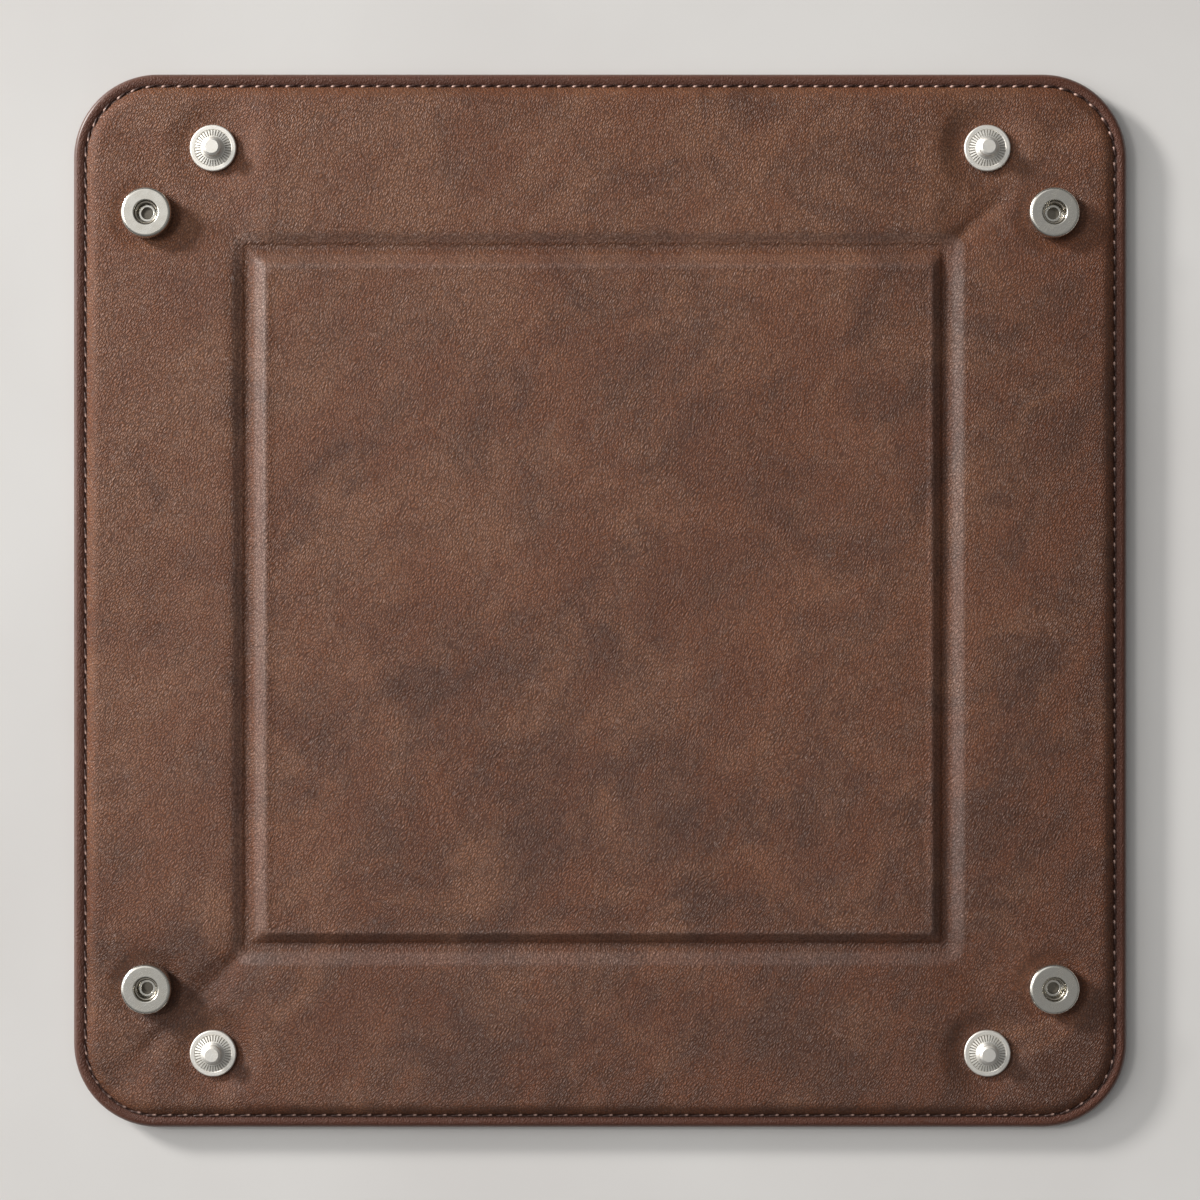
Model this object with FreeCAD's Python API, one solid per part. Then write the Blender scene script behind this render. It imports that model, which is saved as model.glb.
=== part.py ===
import FreeCAD, Part
import math
import os

# Snap-corner valet tray, laid flat: two sheets of leatherette sewn together over stiff boards.
# Millimetres; Z is up, the origin is under the middle of the tray, the table is z = 0.
# The leather is split along its fold lines, so each panel can turn as a rigid piece.

# Sheets and boards
tray_side = 228.6
corner_radius = 18.3
base_side = 151.0
leather = 1.2
board = 1.4
sewn_margin = 3.0
edge_slope = 1.2
groove_floor = 0.6
groove_slope = 3.0
board_end_floor = 1.0
board_end_slope = 3.0
fold_gap = 0.2
lobe_angle = 45.0

# Snaps: the stud side and the socket side mirror each other about a corner's diagonal.
# Their places are shares of a wall's depth, out from the crease and along from the corner fold.
snap_out_share = 0.5825
snap_along_share = 0.3058
shank_radius = 1.55
shank_bore = 1.25
shank_clearance = 0.05
rivet_lip = 0.35
rivet_lip_height = 0.35
rivet_play = 0.06
stud_radius = 5.05
stud_flange = 1.0
stud_height = 3.6
stud_head = 2.05
stud_neck = 1.75
stud_top = 1.45
flute_count = 36
flute_width = 0.26
flute_depth = 0.22
flute_inner = 2.65
flute_outer = 3.95
socket_radius = 5.45
socket_height = 3.6
socket_floor = 0.6
socket_lip = 0.7
socket_edge = 0.7
mouth_clearance = 0.5
spring_wire = 0.3
spring_grip = 0.05
spring_mouth = 40.0
groove_clearance = 0.12
snap_play = 0.3
eyelet_radius = 4.75
eyelet_height = 0.8
cap_radius = 6.25
cap_height = 1.5
cap_flat = 2.5

# Worked out from the sizes above
tray_half = tray_side / 2
base_half = base_side / 2
spine_width = socket_height + stud_flange + snap_play
setback = spine_width / math.sqrt(2)
slit = fold_gap / 2
slit_across = fold_gap / math.sqrt(2)
under_z = cap_height
middle_z = under_z + leather
fold_z = middle_z + leather
panel_z = fold_z + board
post_hole = shank_radius + shank_clearance
mouth_radius = stud_head + mouth_clearance
spring_radius = stud_head - spring_grip + spring_wire
spring_foot = mouth_radius + 2 * spring_wire
cavity_radius = spring_foot + groove_clearance
spring_z = socket_height - socket_lip - spring_wire - groove_clearance
arc_centre = tray_half - corner_radius
wall_depth = tray_half - base_half
snap_out = base_half + snap_out_share * wall_depth
snap_side = base_half - setback + snap_along_share * wall_depth

UP = FreeCAD.Vector(0, 0, 1)
parts = {}


def at(x, y, z=0.0):
    return FreeCAD.Vector(x, y, z)


def closed_wire(points):
    return Part.makePolygon(points + points[:1])


def plate(wire, low, high):
    solid = Part.Face(wire).extrude(UP * (high - low))
    solid.translate(UP * low)
    return solid


def raised_panel(foot, top, low, high):
    foot_wire = closed_wire([p + UP * low for p in foot])
    top_wire = closed_wire([p + UP * high for p in top])
    return Part.makeLoft([foot_wire, top_wire], True, True)


def rounded_wire(corners):
    """A closed (radius, height) outline; a corner's third value is its rounding."""
    ends = []
    edges = []
    for i, (r, z, rounding) in enumerate(corners):
        corner = at(r, 0, z)
        before = at(corners[i - 1][0], 0, corners[i - 1][1])
        after = at(corners[(i + 1) % len(corners)][0], 0, corners[(i + 1) % len(corners)][1])
        if rounding == 0:
            ends.append((corner, corner))
            continue
        back = (before - corner).normalize()
        ahead = (after - corner).normalize()
        half = back.getAngle(ahead) / 2
        middle = (back + ahead).normalize() * (rounding / math.sin(half) - rounding)
        start = corner + back * (rounding / math.tan(half))
        end = corner + ahead * (rounding / math.tan(half))
        edges.append(Part.Arc(start, corner + middle, end).toShape())
        ends.append((start, end))
    for i, (start, end) in enumerate(ends):
        edges.append(Part.LineSegment(ends[i - 1][1], start).toShape())
    return Part.Wire(Part.__sortEdges__(edges))


def turned(corners, place, height):
    solid = Part.Face(rounded_wire(corners)).revolve(at(0, 0), UP, 360)
    solid.translate(at(place.x, place.y, height))
    return solid


# Base: the square floor inside the four creases, its corners cut off where the corner folds start


def base_outline(inset):
    side = base_half - inset
    cut = base_side - setback - inset * math.sqrt(2) - side
    quarter = [(side, cut), (cut, side)]
    points = []
    for turn in range(4):
        for x, y in quarter:
            points.append(at(x, y))
        quarter = [(-y, x) for x, y in quarter]
    return points


def make_base():
    foot = base_outline(slit + groove_floor)
    top = base_outline(slit + groove_floor + groove_slope)
    outline = closed_wire(base_outline(slit))
    stiffener = raised_panel(foot, top, middle_z, middle_z + board)
    skin = plate(outline, middle_z, fold_z).fuse(raised_panel(foot, top, fold_z, panel_z))
    parts["base_top_leather"] = skin.cut(stiffener).removeSplitter()
    parts["base_board"] = stiffener
    parts["base_bottom_leather"] = plate(outline, under_z, middle_z)


# Walls: four boarded strips outside the creases; their ends stop at the corner folds

walls = {
    "front": (at(1, 0), at(0, -1)),
    "back": (at(1, 0), at(0, 1)),
    "left": (at(0, 1), at(-1, 0)),
    "right": (at(0, 1), at(1, 0)),
}


def wall_rectangle(along, out, half_length, inner, outer):
    return [
        along * half_length + out * inner,
        along * half_length + out * outer,
        along * -half_length + out * outer,
        along * -half_length + out * inner,
    ]


def corner_fold_wedge(along, out, side):
    """The wedge below a corner fold that the two panels close up when they fold."""
    depth = fold_z - under_z + leather
    spread = depth * math.tan(math.radians(lobe_angle / 2))
    line = along * (side * (base_half - setback)) + out * base_half + UP * fold_z
    triangle = [line, line + along * spread - UP * depth, line - along * spread - UP * depth]
    return Part.Face(closed_wire(triangle)).extrude(out * tray_half)


def make_wall(name, along, out):
    length = base_half - setback - slit
    inner = base_half + slit
    outline = wall_rectangle(along, out, length, inner, tray_half)
    foot = wall_rectangle(along, out, length - board_end_floor, inner + groove_floor, tray_half - sewn_margin)
    top = wall_rectangle(
        along,
        out,
        length - board_end_floor - board_end_slope,
        inner + groove_floor + groove_slope,
        tray_half - sewn_margin - edge_slope,
    )
    wedges = corner_fold_wedge(along, out, 1).fuse(corner_fold_wedge(along, out, -1))
    wire = closed_wire(outline)
    stiffener = raised_panel(foot, top, middle_z, middle_z + board)
    skin = plate(wire, middle_z, fold_z).fuse(raised_panel(foot, top, fold_z, panel_z))
    parts[name + "_wall_top_leather"] = skin.cut(stiffener).cut(wedges).removeSplitter()
    parts[name + "_wall_board"] = stiffener.cut(wedges)
    parts[name + "_wall_bottom_leather"] = plate(wire, under_z, middle_z).cut(wedges)


# Corner lobes: the soft, unboarded leather on each side of a corner's diagonal.
# A spine as wide as a closed snap joins the two lobes of a corner.


def arc_point(angle):
    return arc_centre + corner_radius * math.cos(angle), arc_centre + corner_radius * math.sin(angle)


def arc_angle(offset):
    """Where the tray's rounded corner meets the line x - y = offset."""
    return math.acos(offset / (corner_radius * math.sqrt(2))) - math.pi / 4


def lobe_wire(place):
    edge = base_half - setback + slit
    offset = setback + slit_across
    last = arc_angle(offset)
    inner = place(edge + offset, edge)
    first = place(tray_half, edge)
    arc_start = place(tray_half, arc_centre)
    arc_middle = place(*arc_point(last / 2))
    arc_end = place(*arc_point(last))
    edges = [
        Part.LineSegment(inner, first).toShape(),
        Part.LineSegment(first, arc_start).toShape(),
        Part.Arc(arc_start, arc_middle, arc_end).toShape(),
        Part.LineSegment(arc_end, inner).toShape(),
    ]
    return Part.Wire(edges)


def spine_wire(place):
    offset = setback - slit_across
    reach = base_side - setback + slit_across
    first = arc_angle(offset)
    inner = place((reach + offset) / 2, (reach - offset) / 2)
    outer = place(*arc_point(first))
    middle = place(*arc_point(math.pi / 4))
    far_outer = place(*arc_point(math.pi / 2 - first))
    far_inner = place((reach - offset) / 2, (reach + offset) / 2)
    edges = [
        Part.LineSegment(inner, outer).toShape(),
        Part.Arc(outer, middle, far_outer).toShape(),
        Part.LineSegment(far_outer, far_inner).toShape(),
        Part.LineSegment(far_inner, inner).toShape(),
    ]
    return Part.Wire(edges)


def make_lobe(name, place, wedge, snap):
    hole = Part.makeCylinder(post_hole, 4 * leather, at(snap.x, snap.y, under_z - leather))
    tools = wedge.fuse(hole)
    wire = lobe_wire(place)
    parts[name + "_lobe_top_leather"] = plate(wire, middle_z, fold_z).cut(tools)
    parts[name + "_lobe_bottom_leather"] = plate(wire, under_z, middle_z).cut(tools)


# Snap parts, heights measured from the leather's upper face in a corner


def make_stud(place):
    rim = 0.8 * stud_flange
    pocket = shank_radius + rivet_lip + rivet_play
    plate_under = rivet_lip_height
    pocket_top = plate_under + rivet_lip_height + 2 * rivet_play
    neck_z = stud_height - 1.4
    outline = [
        (post_hole, 0, 0),
        (stud_radius, 0, 0.25),
        (stud_radius, rim, 0.3),
        (flute_outer + 0.15, rim, 0.1),
        (flute_outer, rim - 0.12, 0),
        (stud_head + 0.45, stud_flange, 0.2),
        (stud_neck + 0.1, stud_flange + 0.5, 0.2),
        (stud_neck, neck_z, 0),
        (stud_neck, neck_z + 0.4, 0),
        (stud_head, neck_z + 0.7, 0.1),
        (stud_head, stud_height - 0.35, 0.25),
        (stud_top, stud_height, 0.15),
        (0, stud_height, 0),
        (0, pocket_top, 0),
        (pocket, pocket_top, 0),
        (pocket, plate_under, 0),
        (post_hole, plate_under, 0),
    ]
    stud = turned(outline, place, fold_z)
    flutes = []
    for i in range(flute_count):
        flute = Part.makeBox(flute_outer - flute_inner, flute_width, stud_flange)
        flute.translate(at(flute_inner, -flute_width / 2, rim - flute_depth))
        flute.rotate(at(0, 0), UP, 360 * i / flute_count)
        flute.translate(at(place.x, place.y, fold_z))
        flutes.append(flute)
    return stud.cut(Part.Compound(flutes))


def make_eyelet(place):
    under = under_z - fold_z
    lip_z = rivet_lip_height + rivet_play
    lip = shank_radius + rivet_lip
    outline = [
        (shank_bore, under - eyelet_height, 0.3),
        (eyelet_radius, under - eyelet_height, 0.5),
        (eyelet_radius, under, 0.1),
        (shank_radius, under, 0),
        (shank_radius, lip_z, 0),
        (lip, lip_z, 0.1),
        (lip, lip_z + rivet_lip_height, 0.15),
        (shank_bore, lip_z + rivet_lip_height, 0.1),
    ]
    return turned(outline, place, fold_z)


def make_socket(place):
    roof = socket_height - socket_lip
    outline = [
        (post_hole, 0, 0),
        (socket_radius, 0, 0.3),
        (socket_radius, socket_height, socket_edge),
        (mouth_radius, socket_height, 0.3),
        (mouth_radius, roof, 0.15),
        (cavity_radius, roof, 0.2),
        (cavity_radius, socket_floor, 0.2),
        (post_hole, socket_floor, 0),
    ]
    return turned(outline, place, fold_z)


def make_spring(place):
    """A split ring of wire; its two turned-out feet hold it under the socket's lip."""
    ring = Part.makeTorus(spring_radius, spring_wire, at(0, 0), UP, 0, 360, 360 - spring_mouth)
    ring.rotate(at(0, 0), UP, spring_mouth / 2)
    for side in (1, -1):
        angle = math.radians(side * spring_mouth / 2)
        outward = at(math.cos(angle), math.sin(angle))
        foot = Part.makeCylinder(spring_wire, spring_foot - spring_radius, outward * spring_radius, outward)
        ring = ring.fuse(foot).fuse(Part.makeSphere(spring_wire, outward * spring_radius))
    ring.translate(at(place.x, place.y, fold_z + spring_z))
    return ring


def make_cap(place):
    under = under_z - fold_z
    lip_z = socket_floor + rivet_play
    lip = shank_radius + rivet_lip
    outline = [
        (0, under - cap_height, 0),
        (cap_flat, under - cap_height, 0.5),
        (cap_radius - 0.8, under - 0.65 * cap_height, 0.5),
        (cap_radius, under - 0.25 * cap_height, 0.2),
        (cap_radius, under, 0),
        (shank_radius, under, 0),
        (shank_radius, lip_z, 0),
        (lip, lip_z, 0.1),
        (lip, lip_z + rivet_lip_height, 0.15),
        (shank_bore, lip_z + rivet_lip_height, 0.15),
        (shank_bore, middle_z - fold_z, 0),
        (0, middle_z - fold_z, 0),
    ]
    return turned(outline, place, fold_z)


def make_corner(name, x_side, y_side, front_or_back, left_or_right):
    def on_socket_side(out, along):
        return at(x_side * out, y_side * along)

    def on_stud_side(out, along):
        return at(x_side * along, y_side * out)

    stud_place = on_stud_side(snap_out, snap_side)
    socket_place = on_socket_side(snap_out, snap_side)
    stud_wedge = corner_fold_wedge(*walls[front_or_back], x_side)
    socket_wedge = corner_fold_wedge(*walls[left_or_right], y_side)
    make_lobe(name + "_stud", on_stud_side, stud_wedge, stud_place)
    make_lobe(name + "_socket", on_socket_side, socket_wedge, socket_place)
    wire = spine_wire(on_socket_side)
    parts[name + "_spine_top_leather"] = plate(wire, middle_z, fold_z)
    parts[name + "_spine_bottom_leather"] = plate(wire, under_z, middle_z)
    parts[name + "_stud"] = make_stud(stud_place)
    parts[name + "_eyelet"] = make_eyelet(stud_place)
    parts[name + "_socket"] = make_socket(socket_place)
    parts[name + "_spring"] = make_spring(socket_place)
    parts[name + "_cap"] = make_cap(socket_place)


make_base()
for wall, (along, out) in walls.items():
    make_wall(wall, along, out)
make_corner("front_left", -1, -1, "front", "left")
make_corner("front_right", 1, -1, "front", "right")
make_corner("back_left", -1, 1, "back", "left")
make_corner("back_right", 1, 1, "back", "right")

os.makedirs("parts", exist_ok=True)
for name, shape in parts.items():
    shape.exportStep("parts/" + name + ".step")
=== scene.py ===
import bpy
import math
import numpy as np
from mathutils import Matrix, Vector


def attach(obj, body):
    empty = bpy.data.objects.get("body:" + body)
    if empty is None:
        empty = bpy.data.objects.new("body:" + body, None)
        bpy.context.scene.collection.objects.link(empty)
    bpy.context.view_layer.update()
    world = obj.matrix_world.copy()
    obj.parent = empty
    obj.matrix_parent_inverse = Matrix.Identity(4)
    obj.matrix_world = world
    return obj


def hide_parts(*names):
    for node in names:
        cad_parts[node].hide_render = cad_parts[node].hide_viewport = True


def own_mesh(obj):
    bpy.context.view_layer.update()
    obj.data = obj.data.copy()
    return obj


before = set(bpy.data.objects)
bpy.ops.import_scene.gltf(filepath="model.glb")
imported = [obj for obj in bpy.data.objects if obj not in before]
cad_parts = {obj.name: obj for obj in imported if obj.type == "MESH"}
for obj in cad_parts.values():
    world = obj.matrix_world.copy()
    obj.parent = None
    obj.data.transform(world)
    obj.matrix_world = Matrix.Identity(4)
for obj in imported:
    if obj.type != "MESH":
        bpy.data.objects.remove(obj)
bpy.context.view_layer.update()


# Top leather: the tray's inner face, one sheet of brown leatherette drawn over the boards.
# It is pressed into a groove along each crease, sinks round the snaps, and is sewn down at the edge.
# It is shaped whole and then cut along the fold lines, so each panel can turn by itself.

mm = 0.001  # the lengths below are in millimetres
tray_half = 114.3
corner_radius = 18.3
arc_centre = tray_half - corner_radius
crease = 75.5
spine_width = 4.9
setback = spine_width / math.sqrt(2)
corner_fold = crease - setback
middle_z = 2.7
fold_z = 3.9
panel_z = 5.3
lobe_z = 4.72
sheet_thickness = 1.1
edge_roll = 1.2
stitch_inset = 2.65
stitch_z = 3.45
stitch_rise = 3.0
band_width = 6.0
snap_out = 98.10
snap_side = 83.90
hole_radius = 1.6
hole_sides = 28
punch_length = 12
smooth_angle = math.radians(50)
nearly = 0.01
cut_tolerance = 1e-7

# The groove: its height, its lowest lines, and the stretch of leather that is drawn aside with it
groove_z = 3.95
groove_lines = (-76.6, 74.6)
drawn_from = 70.5
drawn_to = 81.5
# Its two slopes: foot and top, measured from the lowest line, and how round each of them is
wall_slope = (1.0, 4.0, 0.8, 0.7)
base_slope = (1.5, 3.1, 0.9, 0.27)
groove_corner = 0.4

# The fall from a wall to its lobe: length and roundness, at the back and elsewhere
back_fall = (6.0, 0.4)
soft_fall = (9.0, 1.8)
spine_dip = 0.36
spine_dip_width = 4.2

# The beds of the snaps: radius, then for each kind how far it fades out and its height
bed_radius = 4.8
stud_bed = (6.5, 3.72)
socket_bed = (4.5, 3.82)

corners = {
    "front_left": (-1, -1),
    "front_right": (1, -1),
    "back_left": (-1, 1),
    "back_right": (1, 1),
}


def only(obj):
    """Selects this object alone."""
    bpy.ops.object.select_all(action="DESELECT")
    obj.select_set(True)
    bpy.context.view_layer.objects.active = obj


def get_points(mesh):
    flat = np.empty(len(mesh.vertices) * 3)
    mesh.vertices.foreach_get("co", flat)
    return flat.reshape(-1, 3) / mm


def set_points(mesh, points):
    mesh.vertices.foreach_set("co", (points * mm).astype(np.float32).ravel())
    mesh.update()


def get_centres(mesh):
    flat = np.empty(len(mesh.polygons) * 3)
    mesh.polygons.foreach_get("center", flat)
    return flat.reshape(-1, 3) / mm


def pick_faces(obj, mask):
    """Enters edit mode with just these faces selected."""
    only(obj)
    bpy.context.tool_settings.mesh_select_mode = (False, False, True)
    bpy.ops.object.mode_set(mode="EDIT")
    bpy.ops.mesh.select_all(action="DESELECT")
    bpy.ops.object.mode_set(mode="OBJECT")
    obj.data.polygons.foreach_set("select", mask)
    bpy.ops.object.mode_set(mode="EDIT")


def ease(t):
    """A soft step from 0 to 1."""
    t = np.clip(t, 0, 1)
    return t * t * (3 - 2 * t)


def ramp(distance, foot, top, foot_rounding, top_rounding):
    """A straight slope from 0 to 1 with both its ends rounded."""
    low = foot_rounding * np.logaddexp(0, (distance - foot) / foot_rounding)
    high = top_rounding * np.logaddexp(0, (distance - top) / top_rounding)
    return (low - high) / (top - foot)


def groove_side(distance, *slope):
    """One side of a groove, from 0 at its lowest line to 1 on top."""
    lowest = ramp(0.0, *slope)
    return (ramp(distance, *slope) - lowest) / (1 - lowest)


def edge_distance(x, y):
    """How far a point lies inside the tray's outline."""
    px = np.abs(x) - arc_centre
    py = np.abs(y) - arc_centre
    outside = np.hypot(np.maximum(px, 0), np.maximum(py, 0))
    return corner_radius - outside - np.minimum(np.maximum(px, py), 0)


def inside_crease(x, y):
    """How far a point lies inside the four creases; its contour lines turn the corners in a tight bend."""
    return crease - groove_corner * np.logaddexp(np.abs(x) / groove_corner, np.abs(y) / groove_corner)


def outside_crease(x, y):
    return np.hypot(np.maximum(np.abs(x) - crease, 0), np.maximum(np.abs(y) - crease, 0))


def drawn(run):
    """Stretches the sheet across a groove, because its lowest line lies off the crease towards one side."""
    places = (-drawn_to, groove_lines[0], -drawn_from, drawn_from, groove_lines[1], drawn_to)
    targets = (-drawn_to, -crease, -drawn_from, drawn_from, crease, drawn_to)
    return np.interp(run, places, targets)


def line_distance(x, y, start, end):
    """Distance from a line between two points, and how far along it the foot lies, 0 to 1."""
    run = np.subtract(end, start)
    along = ((x - start[0]) * run[0] + (y - start[1]) * run[1]) / (run @ run)
    along = np.clip(along, 0, 1)
    return np.hypot(x - start[0] - along * run[0], y - start[1] - along * run[1]), along


def unevenness(x, y):
    """The slow swell of soft leather over its board."""
    slow = np.sin(x / 17 + 0.8) * np.sin(y / 21 - 0.4) + np.sin(x / 9.5 - y / 13 + 2.1)
    quick = np.sin(x / 5.3 + y / 7.1) * np.sin(y / 6.2 - 1.3)
    return 0.06 * slow + 0.03 * quick


# Soft wrinkles that run out from two corners of the base: start, end, depth and width of each
wrinkles = (
    ((76.0, 77.2), (91.0, 90.5), 0.5, 1.7),
    ((80.0, 84.5), (94.0, 94.5), 0.14, 1.0),
    ((-77.0, -75.6), (-104.0, -102.5), 0.46, 1.6),
    ((-80.0, -82.5), (-98.0, -99.5), 0.18, 0.9),
    ((-83.0, -78.5), (-100.0, -94.0), 0.16, 0.9),
)


def top_height(x, y):
    """The height of the tray's inner face."""
    ax, ay = np.abs(x), np.abs(y)
    past_fold = np.minimum(ax, ay) - corner_fold
    at_back = (y > 0) & (ay > ax)
    length = np.where(at_back, back_fall[0], soft_fall[0])
    rounding = np.where(at_back, back_fall[1], soft_fall[1])
    outer = panel_z - (panel_z - lobe_z) * ramp(past_fold, 0.0, length, rounding, rounding)
    diagonal = np.abs(ax - ay) / math.sqrt(2)
    in_lobe = ease((past_fold + 1) / 4)
    outer = outer - spine_dip * in_lobe * np.exp(-((diagonal / spine_dip_width) ** 2))
    outer = outer + unevenness(x, y)
    for start, end, depth, width in wrinkles:
        off, along = line_distance(x, y, start, end)
        outer = outer - depth * np.exp(-((off / width) ** 2)) * ease((1 - along) * 2.5)
    groove_x, groove_y = drawn(x), -drawn(-y)
    raised = groove_side(outside_crease(groove_x, groove_y), *wall_slope)
    z = groove_z + (outer - groove_z) * raised
    inside = inside_crease(groove_x, groove_y)
    base = panel_z + unevenness(x, y)
    floor = groove_z + (base - groove_z) * groove_side(inside, *base_slope)
    z = np.where(inside > 0, floor, z)
    for out, side, (reach, bed_z) in ((snap_side, snap_out, stud_bed), (snap_out, snap_side, socket_bed)):
        off = np.hypot(ax - out, ay - side)
        bed = 1 - ease((off - bed_radius) / reach)
        z = z + (bed_z - z) * bed
    d = edge_distance(x, y)
    swell = np.clip((d - stitch_inset) / stitch_rise, 0, 1)
    sewn = stitch_z + (z - stitch_z) * (1 - (1 - swell) ** 2)
    roll = middle_z + np.sqrt(np.maximum(edge_roll**2 - np.maximum(edge_roll - d, 0) ** 2, 0))
    sink = np.clip((d - edge_roll) / (stitch_inset - edge_roll), 0, 1)
    margin = roll - (fold_z - stitch_z) * sink**2
    return np.where(d < stitch_inset, margin, sewn)


# The bands along the edge, by their distance from it: through the seam's valley, then round the rim
valley_bands = (5.3, 4.6, 4.0, 3.5, 3.1, 2.8, 2.65, 2.45, 2.2, 1.8, 1.45)
rim_bands = (1.2, 0.85, 0.55, 0.3, 0.12, 0.03, 0.0)
fine_from = 68.5
fine_to = 80.5


def grid_lines(cells):
    """Grid lines, closer together at the creases; lines lie on the crease and on the corner fold."""
    ends = (0, fine_from, corner_fold, crease, fine_to, arc_centre, tray_half - band_width)
    stretches = zip(ends, ends[1:], cells)
    half = np.concatenate([np.linspace(start, end, count + 1)[1:] for start, end, count in stretches])
    return np.concatenate((-half[::-1], [0.0], half))


def flat_sheet(name, cells):
    """A flat sheet with the tray's outline: a grid with round corners, and narrow bands out to the edge."""
    lines = grid_lines(cells)
    count = len(lines) - 1
    bpy.ops.object.select_all(action="DESELECT")
    bpy.ops.mesh.primitive_grid_add(x_subdivisions=count, y_subdivisions=count, size=1)
    sheet = bpy.context.object
    sheet.name = name
    cell = np.rint((get_points(sheet.data)[:, :2] * mm + 0.5) * count).astype(int)
    x, y = lines[cell[:, 0]], lines[cell[:, 1]]
    reach = corner_radius - band_width
    u = np.maximum(np.abs(x) - arc_centre, 0) / reach
    v = np.maximum(np.abs(y) - arc_centre, 0) / reach
    in_corner = (u > 0) & (v > 0)
    x = np.where(in_corner, np.sign(x) * (arc_centre + reach * u * np.sqrt(1 - v * v / 2)), x)
    y = np.where(in_corner, np.sign(y) * (arc_centre + reach * v * np.sqrt(1 - u * u / 2)), y)
    set_points(sheet.data, np.stack((x, y, np.zeros_like(x)), 1))
    only(sheet)
    bpy.context.tool_settings.mesh_select_mode = (True, True, False)
    inset = band_width
    for next_inset in valley_bands + rim_bands:
        bpy.ops.object.mode_set(mode="EDIT")
        bpy.ops.mesh.select_all(action="DESELECT")
        bpy.ops.mesh.select_non_manifold(
            extend=False, use_wire=False, use_multi_face=False, use_non_contiguous=False, use_verts=False
        )
        bpy.ops.mesh.extrude_edges_move()
        bpy.ops.object.mode_set(mode="OBJECT")
        points = get_points(sheet.data)
        moved = np.empty(len(points), bool)
        sheet.data.vertices.foreach_get("select", moved)
        ring = points[moved]
        outward = np.sign(ring[:, :2]) * np.maximum(np.abs(ring[:, :2]) - arc_centre, 0)
        outward /= np.linalg.norm(outward, axis=1)[:, None]
        points[moved, :2] += outward * (inset - next_inset)
        set_points(sheet.data, points)
        inset = next_inset
    return sheet


def note_distances(mesh):
    """Keeps each point's distance from the edge and the grooves, which the leather's finish follows."""
    x, y = get_points(mesh)[:, :2].T
    groove_x, groove_y = drawn(x), -drawn(-y)
    from_groove = np.maximum(outside_crease(groove_x, groove_y), inside_crease(groove_x, groove_y))
    for name, values in (("edge_mm", edge_distance(x, y)), ("crease_mm", np.maximum(from_groove, 0))):
        layer = mesh.attributes.new(name, "FLOAT", "POINT")
        layer.data.foreach_set("value", values.astype(np.float32))


def split_corners(sheet):
    """Cuts the three fold lines of each corner into the sheet's mesh."""
    for sx, sy in corners.values():
        by_socket = Vector((sx * crease, sy * corner_fold, 0))
        by_stud = Vector((sx * corner_fold, sy * crease, 0))
        for spot, across in ((by_socket, (sx, -sy, 0)), (by_stud, (sx, -sy, 0)), (by_socket, (sx, sy, 0))):
            x, y = get_centres(sheet.data)[:, :2].T
            pick_faces(sheet, (x * sx > corner_fold - nearly) & (y * sy > corner_fold - nearly))
            square_to_it = Vector(across).normalized()
            bpy.ops.mesh.bisect(plane_co=spot * mm, plane_no=square_to_it, threshold=cut_tolerance)
            bpy.ops.object.mode_set(mode="OBJECT")


def region_masks(x, y):
    """Which of these points lie in each wall, lobe and spine."""
    ax, ay = np.abs(x), np.abs(y)
    regions = {
        "front_wall": (y < -crease) & (ax < corner_fold),
        "back_wall": (y > crease) & (ax < corner_fold),
        "left_wall": (x < -crease) & (ay < corner_fold),
        "right_wall": (x > crease) & (ay < corner_fold),
    }
    for name, (sx, sy) in corners.items():
        here = (x * sx > corner_fold) & (y * sy > corner_fold)
        regions[name + "_stud_lobe"] = here & (ay - ax > setback)
        regions[name + "_socket_lobe"] = here & (ax - ay > setback)
        spine = here & (np.abs(ax - ay) < setback) & (ax + ay > 2 * crease - setback)
        regions[name + "_spine"] = spine
    return regions


def split_panels(sheet, prefix):
    """Takes the sheet apart at its fold lines; what is left is the base."""
    panels = {}
    for body in region_masks(np.zeros(1), np.zeros(1)):
        pick_faces(sheet, region_masks(*get_centres(sheet.data)[:, :2].T)[body])
        bpy.ops.mesh.separate(type="SELECTED")
        bpy.ops.object.mode_set(mode="OBJECT")
        panel = [o for o in bpy.context.selected_objects if o is not sheet][0]
        panel.name = prefix + "_" + body
        panels[body] = panel
    sheet.name = prefix + "_base"
    panels["base"] = sheet
    return panels


def thicken(obj):
    only(obj)
    bpy.ops.object.modifier_add(type="SOLIDIFY")
    solid = obj.modifiers[-1]
    solid.thickness = sheet_thickness * mm
    solid.offset = -1
    bpy.ops.object.modifier_apply(modifier=solid.name)
    bpy.ops.object.shade_smooth_by_angle(angle=smooth_angle)


def snap_place(lobe):
    corner, kind = lobe.rsplit("_", 2)[:2]
    sx, sy = corners[corner]
    return (sx * snap_side, sy * snap_out) if kind == "stud" else (sx * snap_out, sy * snap_side)


def punch(panel, lobe):
    """Cuts the hole that the snap's shank goes through."""
    bpy.ops.object.select_all(action="DESELECT")
    x, y = snap_place(lobe)
    bpy.ops.mesh.primitive_cylinder_add(
        vertices=hole_sides,
        radius=hole_radius * mm,
        depth=punch_length * mm,
        location=(x * mm, y * mm, fold_z * mm),
    )
    punch_tool = bpy.context.object
    only(panel)
    bpy.ops.object.modifier_add(type="BOOLEAN")
    cut = panel.modifiers[-1]
    cut.operation = "DIFFERENCE"
    cut.object = punch_tool
    bpy.ops.object.modifier_apply(modifier=cut.name)
    bpy.ops.object.shade_smooth_by_angle(angle=smooth_angle)
    bpy.data.objects.remove(punch_tool)


def finish_panel(panel, body, side):
    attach(panel, body)
    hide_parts(body + "_" + side + "_leather")


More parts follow.
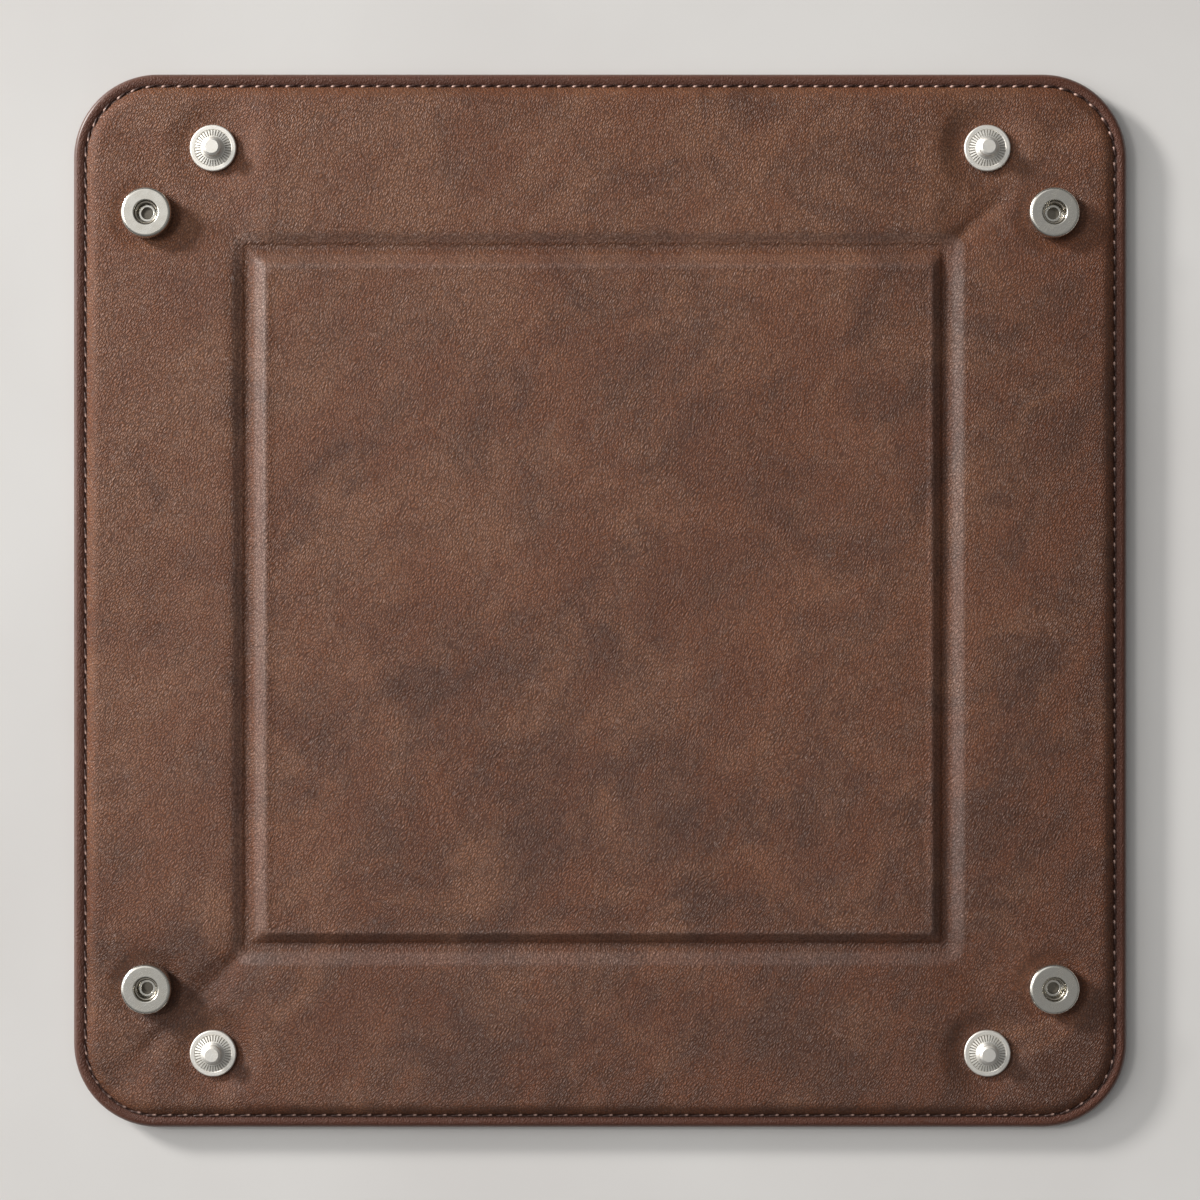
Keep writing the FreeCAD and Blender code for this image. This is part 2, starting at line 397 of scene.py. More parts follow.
def shape(sheet, height):
    points = get_points(sheet.data)
    points[:, 2] = height(points[:, 0], points[:, 1])
    set_points(sheet.data, points)


def make_panels(sheet, side, material):
    """Takes the sheet apart, and gives each panel its thickness, hole, finish and body."""
    panels = split_panels(sheet, side + "_sheet")
    for body, panel in panels.items():
        thicken(panel)
        if body.endswith("_lobe"):
            punch(panel, body)
        note_distances(panel.data)
        panel.data.materials.append(material)
        finish_panel(panel, body, side)
    return panels


def add_node(tree, kind, feeds=None, **settings):
    node = tree.nodes.new(kind)
    for key, value in settings.items():
        setattr(node, key, value)
    for socket, value in (feeds or {}).items():
        if isinstance(value, bpy.types.NodeSocket):
            tree.links.new(value, node.inputs[socket])
        else:
            node.inputs[socket].default_value = value
    return node


def math_node(tree, operation, first, second=0.0, third=0.0):
    feeds = {0: first, 1: second, 2: third}
    return add_node(tree, "ShaderNodeMath", feeds, operation=operation).outputs[0]


def fade(tree, value, low, high, at_low=0.0, at_high=1.0):
    feeds = {"Value": value, "From Min": low, "From Max": high, "To Min": at_low, "To Max": at_high}
    return add_node(tree, "ShaderNodeMapRange", feeds, interpolation_type="SMOOTHSTEP").outputs[0]


def blend_colours(tree, share, first, second):
    colour_a, colour_b, result = 6, 7, 2
    feeds = {"Factor": share, colour_a: first, colour_b: second}
    return add_node(tree, "ShaderNodeMix", feeds, data_type="RGBA").outputs[result]


def noise(tree, place, scale, detail, output="Fac", **others):
    """A noise texture's value or colour; others are its further inputs, such as Roughness."""
    feeds = {"Vector": place, "Scale": scale, "Detail": detail, **others}
    return add_node(tree, "ShaderNodeTexNoise", feeds).outputs[output]


def srgb(red, green, blue):
    """A colour as a paint chart gives it, 0 to 255, in the linear values that a shader takes."""
    linear = []
    for value in (red, green, blue):
        value /= 255
        linear.append(value / 12.92 if value <= 0.04045 else ((value + 0.055) / 1.055) ** 2.4)
    return (*linear, 1.0)


def make_leather_grain():
    """Leatherette's pressed grain, its cloudy colour painted paler towards the back left, and the fine
    creases at its folds, as masks.
    """
    group = bpy.data.node_groups.new("leather_grain", "ShaderNodeTree")
    group.interface.new_socket("Crease Distance", in_out="INPUT", socket_type="NodeSocketFloat")
    for name in ("Clouds", "Stains", "Grain", "Wrinkles"):
        group.interface.new_socket(name, in_out="OUTPUT", socket_type="NodeSocketFloat")
    start = add_node(group, "NodeGroupInput")
    place = add_node(group, "ShaderNodeTexCoord").outputs["Object"]
    aslant = {"Vector": place, "Rotation": (0, 0, math.radians(52)), "Scale": (2.0, 1, 1)}
    slanted = add_node(group, "ShaderNodeMapping", aslant, vector_type="TEXTURE").outputs[0]
    warp = noise(group, place, 260.0, 2.0, output="Color")
    warped = {0: warp, 1: (0.0007, 0.0007, 0.0007), 2: slanted}
    shifted = add_node(group, "ShaderNodeVectorMath", warped, operation="MULTIPLY_ADD").outputs[0]
    fibres = noise(group, shifted, 2900.0, 3.0, Roughness=0.6)
    cells = {"Vector": shifted, "Scale": 2250.0}
    pores = add_node(group, "ShaderNodeTexVoronoi", cells, feature="DISTANCE_TO_EDGE").outputs["Distance"]
    pebbles = fade(group, pores, 0.0, 0.28)
    grain = math_node(group, "MULTIPLY_ADD", pebbles, 0.55, math_node(group, "MULTIPLY", fibres, 0.9))
    clouds = noise(group, place, 42.0, 6.0, Roughness=0.68, Distortion=0.8)
    stains = noise(group, slanted, 90.0, 6.0, Roughness=0.7)
    folds = noise(group, shifted, 1900.0, 3.0, Roughness=0.6)
    near = fade(group, start.outputs["Crease Distance"], 0.3, 1.4)
    far = fade(group, start.outputs["Crease Distance"], 3.0, 5.2, 1.0, 0.0)
    wrinkle = math_node(group, "MULTIPLY", folds, math_node(group, "MULTIPLY", near, far))
    # Painted light: the clouds are shifted paler towards the back left, where the lamps stand.
    painted_light_towards = {0: place, 1: (-0.6, 0.8, 0)}
    painted_light_back_left = add_node(group, "ShaderNodeVectorMath", painted_light_towards, operation="DOT_PRODUCT").outputs["Value"]
    clouds = math_node(group, "ADD", clouds, painted_light_back_left)
    outputs = {
        "Clouds": fade(group, clouds, 0.34, 0.66),
        "Stains": fade(group, stains, 0.34, 0.66),
        "Grain": grain,
        "Wrinkles": wrinkle,
    }
    add_node(group, "NodeGroupOutput", outputs)
    return group


def roughen(tree, shader, height, strength, depth):
    """Raises the surface's fine relief in its shading."""
    bump = add_node(tree, "ShaderNodeBump", {"Height": height, "Strength": strength, "Distance": depth})
    tree.links.new(bump.outputs[0], shader.inputs["Normal"])


def new_material(name):
    material = bpy.data.materials.new(name)
    material.use_nodes = True
    tree = material.node_tree
    return material, tree, tree.nodes["Principled BSDF"]


leather_grain = make_leather_grain()
pore_brown = srgb(56, 32, 23)
# Painted shade for the valley along the seam
seam_shade_brown = srgb(40, 21, 15)
# Painted shade for the bottom of each groove
groove_shade_brown = srgb(60, 36, 27)


def make_leather(name, light, dark, rusty, margin):
    material, tree, shader = new_material(name)
    edge = add_node(tree, "ShaderNodeAttribute", attribute_name="edge_mm").outputs["Fac"]
    near_crease = add_node(tree, "ShaderNodeAttribute", attribute_name="crease_mm").outputs["Fac"]
    grain = add_node(tree, "ShaderNodeGroup", node_tree=leather_grain)
    tree.links.new(near_crease, grain.inputs["Crease Distance"])
    # Cloudy colour, painted paler towards the back left as painted light.
    colour = blend_colours(tree, grain.outputs["Clouds"], dark, light)
    colour = blend_colours(tree, fade(tree, grain.outputs["Stains"], 0.1, 1.0, 0.0, 0.65), colour, rusty)
    pores = fade(tree, grain.outputs["Grain"], 0.45, 0.85, 0.6, 0.0)
    colour = blend_colours(tree, pores, colour, pore_brown)
    at_margin = fade(tree, edge, stitch_inset - 0.25, stitch_inset + 0.35, 0.85, 0.0)
    colour = blend_colours(tree, at_margin, colour, margin)
    # Painted shade: the leather is darkened along the seam line, in the valley that the stitches pull.
    from_seam = math_node(tree, "ABSOLUTE", math_node(tree, "SUBTRACT", edge, stitch_inset))
    colour = blend_colours(tree, fade(tree, from_seam, 0.15, 0.5, 0.8, 0.0), colour, seam_shade_brown)
    # Painted shade: the leather is darkened towards the bottom of each groove.
    painted_groove_shade = fade(tree, near_crease, 0.0, 1.8, 0.3, 0.0)
    colour = blend_colours(tree, painted_groove_shade, colour, groove_shade_brown)
    tree.links.new(colour, shader.inputs["Base Color"])
    rough = fade(tree, grain.outputs["Grain"], 0.4, 1.1, 0.5, 0.34)
    rough = math_node(tree, "MULTIPLY_ADD", grain.outputs["Stains"], 0.06, rough)
    rough = math_node(tree, "MULTIPLY_ADD", at_margin, 0.1, rough)
    tree.links.new(rough, shader.inputs["Roughness"])
    shader.inputs["Specular IOR Level"].default_value = 0.38
    past_foot = fade(tree, near_crease, 0.9, 1.9)
    on_slope = math_node(tree, "MULTIPLY", past_foot, fade(tree, near_crease, 3.2, 4.2, 1.0, 0.0))
    high_grain = fade(tree, grain.outputs["Grain"], 0.5, 0.85, 0.35, 1.0)
    rubbed = math_node(tree, "MULTIPLY", on_slope, high_grain)
    rubbed = math_node(tree, "MAXIMUM", rubbed, fade(tree, edge, 0.4, 0.9, 0.9, 0.0))
    tree.links.new(rubbed, shader.inputs["Coat Weight"])
    shader.inputs["Coat Roughness"].default_value = 0.36
    shader.inputs["Coat IOR"].default_value = 1.6
    height = math_node(tree, "MULTIPLY_ADD", grain.outputs["Wrinkles"], 2.0, grain.outputs["Grain"])
    pressed = fade(tree, edge, stitch_inset - 0.3, stitch_inset + 0.5, 0.65, 0.85)
    roughen(tree, shader, height, pressed, 0.0002)
    return material


top_leather = make_leather(
    "brown_leatherette",
    light=srgb(131, 87, 61),
    dark=srgb(87, 53, 35),
    rusty=srgb(115, 66, 39),
    margin=srgb(80, 43, 29),
)
top_cells = (54, 7, 7, 10, 20, 14)
top_sheet = flat_sheet("top_sheet", top_cells)
shape(top_sheet, top_height)
split_corners(top_sheet)
make_panels(top_sheet, "top", top_leather)


# Bottom leather: the tray's outer face, a second sheet sewn to the first all round its edge.
# It is flat, lightly pressed along the creases, and notched under the corner folds.

under_z = 1.5
crease_press = 0.35
crease_press_width = 1.6
stitch_press = 0.3
stitch_press_width = 0.7
swell_share = 0.3
swell_margin = 4
lobe_angle = math.radians(45)
lean = lobe_angle / 2


def bottom_height(x, y):
    """The height of the tray's outer face."""
    d = edge_distance(x, y)
    roll = middle_z - np.sqrt(np.maximum(edge_roll**2 - np.maximum(edge_roll - d, 0) ** 2, 0))
    pressed = stitch_press * np.exp(-(((d - stitch_inset) / stitch_press_width) ** 2))
    inside = inside_crease(x, y)
    from_crease = np.where(inside > 0, inside, outside_crease(x, y))
    grooved = crease_press * np.exp(-((from_crease / crease_press_width) ** 2))
    clear = ease((d - swell_margin) / swell_margin) * ease(from_crease / swell_margin)
    return roll + pressed + grooved + swell_share * unevenness(x, y) * clear


def notch(panel, along_x, place, towards):
    """Cuts off the wedge under a corner fold, so the two panels beside it can fold down."""
    only(panel)
    bpy.ops.object.mode_set(mode="EDIT")
    bpy.ops.mesh.select_all(action="SELECT")
    spot = Vector((place, 0, fold_z)) if along_x else Vector((0, place, fold_z))
    slope = -math.tan(lean)
    across = Vector((towards, 0, slope)) if along_x else Vector((0, towards, slope))
    bpy.ops.mesh.bisect(
        plane_co=spot * mm,
        plane_no=across.normalized(),
        use_fill=True,
        clear_outer=True,
        threshold=cut_tolerance,
    )
    bpy.ops.object.mode_set(mode="OBJECT")


bottom_leather = make_leather(
    "brown_leatherette_under",
    light=srgb(124, 82, 58),
    dark=srgb(83, 51, 34),
    rusty=srgb(109, 63, 38),
    margin=srgb(76, 41, 28),
)
bottom_cells = (30, 4, 4, 7, 9, 7)
bottom_sheet = flat_sheet("bottom_sheet", bottom_cells)
shape(bottom_sheet, bottom_height)
split_corners(bottom_sheet)
only(bottom_sheet)
bpy.ops.object.mode_set(mode="EDIT")
bpy.ops.mesh.select_all(action="SELECT")
bpy.ops.mesh.flip_normals()
bpy.ops.object.mode_set(mode="OBJECT")
bottom_panels = make_panels(bottom_sheet, "bottom", bottom_leather)
for side in (-1, 1):
    for wall in ("front_wall", "back_wall"):
        notch(bottom_panels[wall], True, side * corner_fold, side)
    for wall in ("left_wall", "right_wall"):
        notch(bottom_panels[wall], False, side * corner_fold, side)
for corner, (sx, sy) in corners.items():
    notch(bottom_panels[corner + "_stud_lobe"], True, sx * corner_fold, -sx)
    notch(bottom_panels[corner + "_socket_lobe"], False, sy * corner_fold, -sy)


# Folds: where a panel turns up, the leather wraps round the outside of the bend.
# Each fold is a wedge of leather that lies hidden inside the next panel while the tray is flat.
# Under a corner fold the wedge fills the notch, and is pinched flat as the corner closes.

bend_play = 0.05
bend_steps = 8
bend_smooth_angle = math.radians(40)
merge_gap = 0.002


def bend(name, outline, centre, turn_from, turn_to, angle, body, side):
    """Spins a flat outline about a fold line through the centre, from one direction towards another."""
    bpy.ops.object.select_all(action="DESELECT")
    bpy.ops.mesh.primitive_circle_add(vertices=len(outline), fill_type="NGON")
    wedge = bpy.context.object
    wedge.name = name
    set_points(wedge.data, np.array(outline))
    bpy.ops.object.mode_set(mode="EDIT")
    bpy.ops.mesh.select_all(action="SELECT")
    axis = Vector(turn_from).cross(Vector(turn_to)).normalized()
    bpy.ops.mesh.spin(steps=bend_steps, angle=-angle, center=Vector(centre) * mm, axis=axis)
    bpy.ops.mesh.select_all(action="SELECT")
    bpy.ops.mesh.remove_doubles(threshold=merge_gap * mm)
    bpy.ops.mesh.normals_make_consistent(inside=False)
    bpy.ops.object.mode_set(mode="OBJECT")
    bpy.ops.object.shade_smooth_by_angle(angle=bend_smooth_angle)
    note_distances(wedge.data)
    wedge.data.materials.append(top_leather if side == "top" else bottom_leather)
    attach(wedge, body)
    return wedge


down, up = (0, 0, -1), (0, 0, 1)
crease_turn = math.radians(87)
crease_low = under_z + crease_press + bend_play
for wall, (ox, oy) in {"front": (0, -1), "back": (0, 1), "left": (-1, 0), "right": (1, 0)}.items():
    first = (ox * crease - oy * corner_fold, oy * crease - ox * corner_fold)
    last = (ox * crease + oy * corner_fold, oy * crease + ox * corner_fold)
    outline = [(*first, fold_z), (*last, fold_z), (*last, crease_low), (*first, crease_low)]
    bend(wall + "_crease_bend", outline, outline[0], down, (ox, oy, 0), crease_turn, "base", "bottom")

# The wedges' outlines along the fold line: they dip below the seam, and end inside the rim
spine_length = 49.577
spine_low = under_z + bend_play
spine_turn = math.pi / 4
below_seam = 3.2
spine_outline = (
    (0, fold_z),
    (spine_length - 5.0, fold_z),
    (spine_length - 3.8, below_seam),
    (spine_length - 1.3, below_seam),
    (spine_length - 0.3, middle_z),
    (spine_length - 0.6, 2.05),
    (spine_length - 1.4, spine_low),
    (0, spine_low),
)
fold_places = np.concatenate(([0.9, 1.8, 2.7, 3.8], np.linspace(5, 32, 7), [33.4, 34.4, 35.3]))
keel_places = np.concatenate(([0], fold_places, [36.15, 37.0, 37.6, 38.1, 38.4]))
keel_top = ((0, fold_z), (33.8, fold_z), (35.0, below_seam), (37.5, below_seam), (38.6, middle_z))


def fill_notch(name, start, out, towards, wall):
    """Fills the notch between a wall and a lobe; the wedge starts on the wall's side of it."""
    keel = [(run, bottom_height(*(start + out * run)) + bend_play) for run in keel_places]
    outline = []
    for run, z in list(keel_top) + keel[::-1]:
        spot = start + out * run - towards[:2] * (fold_z - z) * math.sin(lean)
        outline.append((*spot, fold_z - (fold_z - z) * math.cos(lean)))
    fill = bend(name, outline, outline[0], down, towards, lobe_angle, wall, "bottom")
    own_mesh(fill)


for corner, (sx, sy) in corners.items():
    along = np.array((sx, sy)) / math.sqrt(2)
    front_or_back, left_or_right = corner.split("_")
    for kind, swap in (("socket", False), ("stud", True)):
        start = np.array((sx * corner_fold, sy * crease) if swap else (sx * crease, sy * corner_fold))
        towards = (-sx, sy, 0) if swap else (sx, -sy, 0)
        outline = [(*(start + along * run), z) for run, z in spine_outline]
        for body, sign in ((f"{corner}_spine", 1), (f"{corner}_{kind}_lobe", -1)):
            name = f"{corner}_{kind}_bend_on_{body.split('_')[-1]}"
            bend(name, outline, outline[0], down, Vector(towards) * sign, spine_turn, body, "bottom")
        out = np.array((0, sy) if swap else (sx, 0))
        towards = (sx, 0, 0) if swap else (0, sy, 0)
        line = [start + out * run for run in fold_places]
        ridge = [(*spot, top_height(*spot) - bend_play) for spot in line]
        outline = [(*line[0], fold_z), (*line[-1], fold_z)] + ridge[::-1]
        wall = (front_or_back if swap else left_or_right) + "_wall"
        bend(f"{corner}_{kind}_corner_bend", outline, outline[0], up, towards, lobe_angle, wall, "top")
        fill_notch(f"{corner}_{kind}_fold_fill", start, out, np.array(towards), wall)


# Thread: brown sewing thread, lock-stitched through both sheets all round the edge.
# Each stitch lies aslant in the valley it pulls into the leather, with its ends down the needle holes.

stitch_length = 2.55
thread_radius = 0.27
stitch_slant = 0.34
seam_radius = corner_radius - stitch_inset
seam_half = tray_half - stitch_inset
wall_stitches = 44
lobe_stitches = 10
lobe_pitch = 3.40
first_gap = 0.33
thread_sides = 6
stitch_cuts = 6
end_taper = 0.45
end_sink = 0.30
hump_rise = 0.10
lift_above = 0.20
lift_below = 0.16

bpy.ops.object.select_all(action="DESELECT")
bpy.ops.mesh.primitive_cylinder_add(
    vertices=thread_sides,
    radius=thread_radius * mm,
    depth=stitch_length * mm,
    rotation=(0, math.pi / 2, 0),
)
stitch = bpy.context.object
bpy.ops.object.transform_apply(location=False, rotation=True, scale=False)
bpy.context.tool_settings.mesh_select_mode = (False, True, False)
bpy.ops.object.mode_set(mode="EDIT")
bpy.ops.mesh.select_all(action="DESELECT")
bpy.ops.object.mode_set(mode="OBJECT")
for edge in stitch.data.edges:
    a, b = (stitch.data.vertices[i].co.x for i in edge.vertices)
    edge.select = abs(a - b) > 0.5 * stitch_length * mm
bpy.ops.object.mode_set(mode="EDIT")
bpy.ops.mesh.subdivide(number_cuts=stitch_cuts)
bpy.ops.object.mode_set(mode="OBJECT")
stitch_points = get_points(stitch.data)
run = stitch_points[:, 0] / (stitch_length / 2)
taper = 1 - end_taper * np.abs(run) ** 5
stitch_points[:, 1] = stitch_points[:, 1] * taper + stitch_slant / 2 * run
hump = hump_rise * np.exp(-(((run - 0.62) / 0.22) ** 2))
stitch_points[:, 2] = stitch_points[:, 2] * taper + hump - end_sink * np.abs(run) ** 4
set_points(stitch.data, stitch_points)
rise = stitch.data.attributes.new("rise", "FLOAT", "POINT")
rise.data.foreach_set("value", np.exp(-(((run - 0.66) / 0.26) ** 2)).astype(np.float32))
bpy.ops.object.shade_smooth()


def seam_point(run):
    """A point of the seam in the back right corner, so far along from a corner fold."""
    straight = arc_centre - corner_fold
    if run < straight:
        return seam_half, corner_fold + run
    angle = (run - straight) / seam_radius
    return arc_centre + seam_radius * math.cos(angle), arc_centre + seam_radius * math.sin(angle)


def outward_at(x, y):
    away = np.sign((x, y)) * np.maximum(np.abs((x, y)) - arc_centre, 0)
    return away / np.linalg.norm(away)


def sew(body, spots):
    """Sets a stitch at each spot on both faces, and joins them into one piece."""
    copies = []
    for x, y in spots:
        nx, ny = outward_at(x, y)
        for z, flip in ((stitch_z + lift_above, 1), (under_z + stitch_press - lift_below, -1)):
            copy = stitch.copy()
            copy.data = stitch.data.copy()
            bpy.context.scene.collection.objects.link(copy)
            turn = Matrix(((-ny, -nx * flip, 0), (nx, -ny * flip, 0), (0, 0, flip))).to_4x4()
            copy.data.transform(Matrix.Translation(Vector((x, y, z)) * mm) @ turn)
            copies.append(copy)
    bpy.ops.object.select_all(action="DESELECT")
    for copy in copies:
        copy.select_set(True)
    bpy.context.view_layer.objects.active = copies[0]
    bpy.ops.object.join()
    seam = bpy.context.object
    seam.name = "thread_" + body
    seam.data.materials.append(thread)
    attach(seam, body)


def make_thread():
    material, tree, shader = new_material("brown_thread")
    rise = add_node(tree, "ShaderNodeAttribute", attribute_name="rise").outputs["Fac"]
    place = add_node(tree, "ShaderNodeTexCoord").outputs["Object"]
    fibre = noise(tree, place, 4000.0, 2.0)
    # Painted highlight: each stitch is coloured pale on its hump, where it rises and would catch the light;
    # the rest keeps the thread's dark brown.
    painted_highlight = math_node(tree, "MULTIPLY", rise, fade(tree, fibre, 0.3, 0.6, 0.7, 1.0))
    colour = blend_colours(tree, painted_highlight, srgb(58, 34, 27), srgb(216, 180, 166))
    tree.links.new(colour, shader.inputs["Base Color"])
    tree.links.new(fade(tree, fibre, 0.3, 0.7, 0.45, 0.65), shader.inputs["Roughness"])
    roughen(tree, shader, fibre, 0.5, 0.00006)
    return material


thread = make_thread()
wall_places = (np.arange(wall_stitches) + 0.5) / wall_stitches * 2 * corner_fold - corner_fold
sew("front_wall", [(run, -seam_half) for run in wall_places])
sew("back_wall", [(run, seam_half) for run in wall_places])
sew("left_wall", [(-seam_half, run) for run in wall_places])
sew("right_wall", [(seam_half, run) for run in wall_places])
lobe_places = [seam_point(first_gap + stitch_length / 2 + i * lobe_pitch) for i in range(lobe_stitches)]
diagonal_place = arc_centre + seam_radius / math.sqrt(2)
for corner, (sx, sy) in corners.items():
    sew(corner + "_socket_lobe", [(sx * x, sy * y) for x, y in lobe_places])
    sew(corner + "_stud_lobe", [(sx * y, sy * x) for x, y in lobe_places])
    sew(corner + "_spine", [(sx * diagonal_place, sy * diagonal_place)])
bpy.data.objects.remove(stitch)


# Boards: grey pressed-paper stiffeners, one in the base and one in each wall.
# They are glued between the two sheets and don't show.


def dress(ending, material):
    """Gives a material to all the nodes of one kind."""
    for name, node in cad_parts.items():
        if name.endswith(ending):
            for slot in node.material_slots:
                slot.material = material


board, tree, shader = new_material("grey_board")
place = add_node(tree, "ShaderNodeTexCoord").outputs["Object"]
pulp = noise(tree, place, 900.0, 5.0)
board_grey = blend_colours(tree, pulp, srgb(178, 170, 158), srgb(206, 199, 188))
tree.links.new(board_grey, shader.inputs["Base Color"])
tree.links.new(fade(tree, pulp, 0.3, 0.7, 0.8, 0.95), shader.inputs["Roughness"])
roughen(tree, shader, pulp, 0.4, 0.0001)
dress("_board", board)


# Snaps: nickel-plated brass pressings, riveted through both sheets. The studs and their eyelets are
# satin from tumbling, the sockets and their caps are polished, and the springs are drawn steel wire.


def make_plating():
    """Plated metal's dull patches and fine scratches, as masks and a height."""
    group = bpy.data.node_groups.new("plating_wear", "ShaderNodeTree")
    for name in ("Patches", "Scratches"):
        group.interface.new_socket(name, in_out="OUTPUT", socket_type="NodeSocketFloat")
    place = add_node(group, "ShaderNodeTexCoord").outputs["Object"]
    patches = noise(group, place, 420.0, 4.0)
    drawn_out = {"Vector": place, "Rotation": (0.3, 0.2, 0.6), "Scale": (9, 1, 1)}
    rubbed = add_node(group, "ShaderNodeMapping", drawn_out, vector_type="TEXTURE").outputs[0]
    lines = noise(group, rubbed, 5200.0, 2.0)
    outputs = {"Patches": fade(group, patches, 0.35, 0.7), "Scratches": fade(group, lines, 0.52, 0.74)}
    add_node(group, "NodeGroupOutput", outputs)
    return group


plating_wear = make_plating()
flute_count = 36
bore_radius = 1.22
dark_brass = srgb(98, 90, 76)


def round_snap(tree, middle):
    """How far a point lies from the middle of its snap, in which direction, and how high."""
    place = add_node(tree, "ShaderNodeTexCoord").outputs["Object"]
    folded = add_node(tree, "ShaderNodeVectorMath", {0: place}, operation="ABSOLUTE").outputs[0]
    middle = (middle[0] * mm, middle[1] * mm, 0)
    away = add_node(tree, "ShaderNodeVectorMath", {0: folded, 1: middle}, operation="SUBTRACT").outputs[0]
    away = add_node(tree, "ShaderNodeSeparateXYZ", {0: away})
    across, along = away.outputs["X"], away.outputs["Y"]
    square = math_node(tree, "MULTIPLY_ADD", across, across, math_node(tree, "MULTIPLY", along, along))
    radius = math_node(tree, "DIVIDE", math_node(tree, "SQRT", square), mm)
    height = math_node(tree, "DIVIDE", away.outputs["Z"], mm)
    return radius, math_node(tree, "ARCTAN2", along, across), height


def flute_mask(tree):
    """The flutes round a stud's flange, where tumbling leaves dark residue."""
    radius, angle = round_snap(tree, (snap_side, snap_out))[:2]
    wave = math_node(tree, "COSINE", math_node(tree, "MULTIPLY", angle, flute_count))
    past_post = fade(tree, radius, 2.55, 2.7)
    before_rim = fade(tree, radius, 3.9, 4.0, 1.0, 0.0)
    ring = math_node(tree, "MULTIPLY", past_post, before_rim)
    return math_node(tree, "MULTIPLY", ring, fade(tree, wave, 0.0, 0.7, 0.0, 0.65))


def bore_mask(tree):
    """Inside a cap's bore, which is coloured darker, towards brown brass."""
    radius, _, height = round_snap(tree, (snap_out, snap_side))
    inside = fade(tree, radius, bore_radius, bore_radius + 0.08, 0.85, 0.0)
    return math_node(tree, "MULTIPLY", inside, fade(tree, height, middle_z - 0.6, middle_z - 0.3))


def make_metal(name, bright, dull, smooth, rough, scratch_depth, dark_mask=None):
    material, tree, shader = new_material(name)
    wear = add_node(tree, "ShaderNodeGroup", node_tree=plating_wear)
    colour = blend_colours(tree, math_node(tree, "MULTIPLY", wear.outputs["Patches"], 0.6), bright, dull)
    if dark_mask:
        colour = blend_colours(tree, dark_mask(tree), colour, dark_brass)
    tree.links.new(colour, shader.inputs["Base Color"])
    shader.inputs["Metallic"].default_value = 1.0
    roughness = fade(tree, wear.outputs["Patches"], 0.0, 1.0, smooth, rough)
    roughness = math_node(tree, "MULTIPLY_ADD", wear.outputs["Scratches"], 0.06, roughness)
    tree.links.new(roughness, shader.inputs["Roughness"])
    roughen(tree, shader, wear.outputs["Scratches"], 0.3, scratch_depth)
    return material


white_nickel, dull_white = srgb(240, 238, 232), srgb(222, 218, 210)
grey_nickel, dull_grey = srgb(226, 223, 217), srgb(196, 191, 183)
warm_nickel, dull_warm = srgb(232, 229, 220), srgb(208, 203, 192)
steel, dull_steel = srgb(186, 180, 168), srgb(140, 132, 120)
tumbled = 0.00002
polished = 0.000012
fluted_nickel = make_metal("fluted_nickel", white_nickel, dull_white, 0.5, 0.62, tumbled, flute_mask)
satin_nickel = make_metal("satin_nickel", grey_nickel, dull_grey, 0.3, 0.42, tumbled)
polished_nickel = make_metal("polished_nickel", warm_nickel, dull_warm, 0.16, 0.26, polished)
riveted_nickel = make_metal("riveted_nickel", warm_nickel, dull_warm, 0.16, 0.26, polished, bore_mask)
spring_steel = make_metal("spring_steel", steel, dull_steel, 0.25, 0.4, tumbled)
dress("_stud", fluted_nickel)
dress("_eyelet", satin_nickel)
dress("_socket", polished_nickel)
dress("_cap", riveted_nickel)
dress("_spring", spring_steel)


# Floor, light and camera: a plain pale table under a soft grey sky, seen straight from above.
# Two lamps shine from the left, one high and one low, and two soft boxes brighten the sky above them.

bpy.ops.object.select_all(action="DESELECT")
bpy.ops.mesh.primitive_plane_add(size=6)
floor = bpy.context.object
floor.name = "table_top"
floor_material, tree, shader = new_material("pale_table")
place = add_node(tree, "ShaderNodeTexCoord").outputs["Object"]
shades = fade(tree, noise(tree, place, 9.0, 5.0), 0.3, 0.7)
floor_colour = blend_colours(tree, shades, srgb(214, 212, 210), srgb(222, 221, 219))
tree.links.new(floor_colour, shader.inputs["Base Color"])
shader.inputs["Roughness"].default_value = 0.9
shader.inputs["Specular IOR Level"].default_value = 0.2
floor.data.materials.append(floor_material)

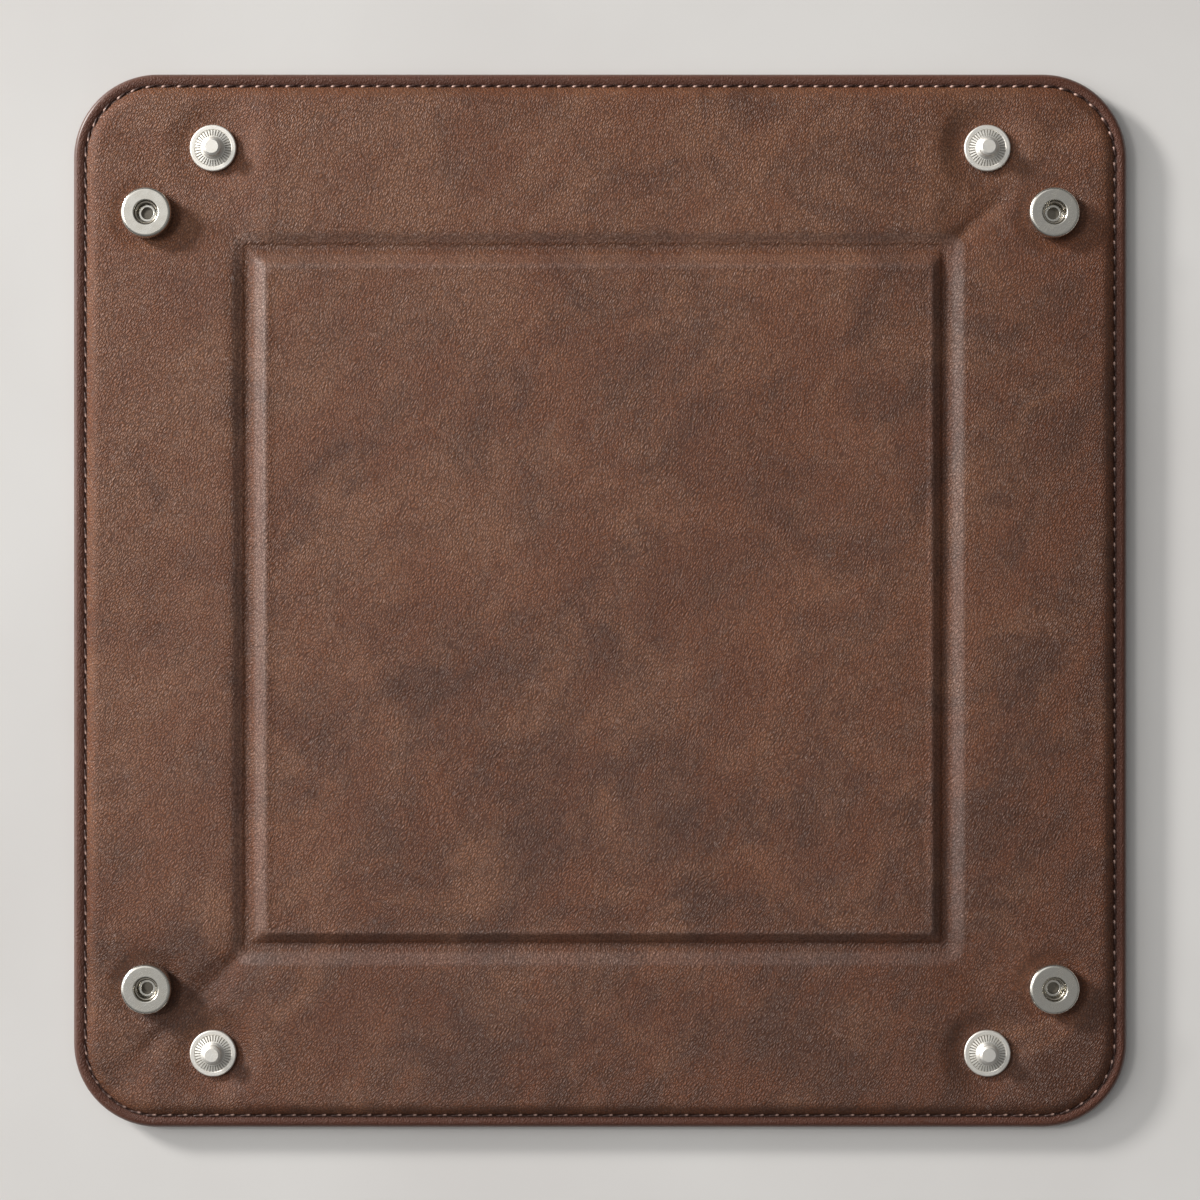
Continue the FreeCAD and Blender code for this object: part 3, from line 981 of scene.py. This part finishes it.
world = bpy.data.worlds.new("studio")
bpy.context.scene.world = world
world.use_nodes = True
sky_tree = world.node_tree
sky = sky_tree.nodes["Background"]
sky.inputs["Color"].default_value = (1.0, 0.99, 0.98, 1.0)
direction = add_node(sky_tree, "ShaderNodeTexCoord").outputs["Generated"]
elevation = add_node(sky_tree, "ShaderNodeSeparateXYZ", {0: direction}).outputs["Z"]
overhead = fade(sky_tree, elevation, 0.4, 0.85, 0.10, 0.25)


def soft_box(towards, edge, middle, strength):
    """A soft patch of light in the sky, from the cosines of the angles at its edge and its middle."""
    feeds = {0: direction, 1: Vector(towards).normalized()}
    nearness = add_node(sky_tree, "ShaderNodeVectorMath", feeds, operation="DOT_PRODUCT").outputs["Value"]
    return fade(sky_tree, nearness, edge, middle, 0.0, strength)


box_above = soft_box((-0.50, 0.33, 0.8), edge=0.74, middle=0.98, strength=0.76)
box_beside = soft_box((-1.0, 0.22, 0.36), edge=0.87, middle=0.97, strength=2.1)
boxes = math_node(sky_tree, "ADD", box_above, box_beside)
sky_tree.links.new(math_node(sky_tree, "ADD", overhead, boxes), sky.inputs["Strength"])


def lamp(name, place, width, height, power, colour):
    """A soft rectangular lamp that shines on the tray's middle."""
    light = bpy.data.lights.new(name, "AREA")
    light.shape = "RECTANGLE"
    light.size = width
    light.size_y = height
    light.energy = power
    light.color = colour
    obj = bpy.data.objects.new(name, light)
    bpy.context.scene.collection.objects.link(obj)
    obj.location = place
    obj.rotation_mode = "QUATERNION"
    obj.rotation_quaternion = (-Vector(place)).to_track_quat("-Z", "Y")


lamp("high_window", (-1.071, 0.287, 1.418), 0.34, 0.34, 6.3, (1.0, 0.98, 0.95))
lamp("low_window", (-1.779, 1.111, 0.655), 0.45, 0.24, 54.0, (1.0, 0.97, 0.94))

camera_data = bpy.data.cameras.new("camera")
camera = bpy.data.objects.new("camera", camera_data)
bpy.context.scene.collection.objects.link(camera)
camera_height = 0.7
view_width = 0.2607
sensor = 36.0
camera_data.sensor_width = sensor
camera_data.lens = sensor * (camera_height - middle_z * mm) / view_width
camera.location = (-0.00005, 0.00016, camera_height)
camera.rotation_euler = (0, 0, 0)
bpy.context.scene.camera = camera
bpy.context.scene.view_settings.view_transform = "Standard"
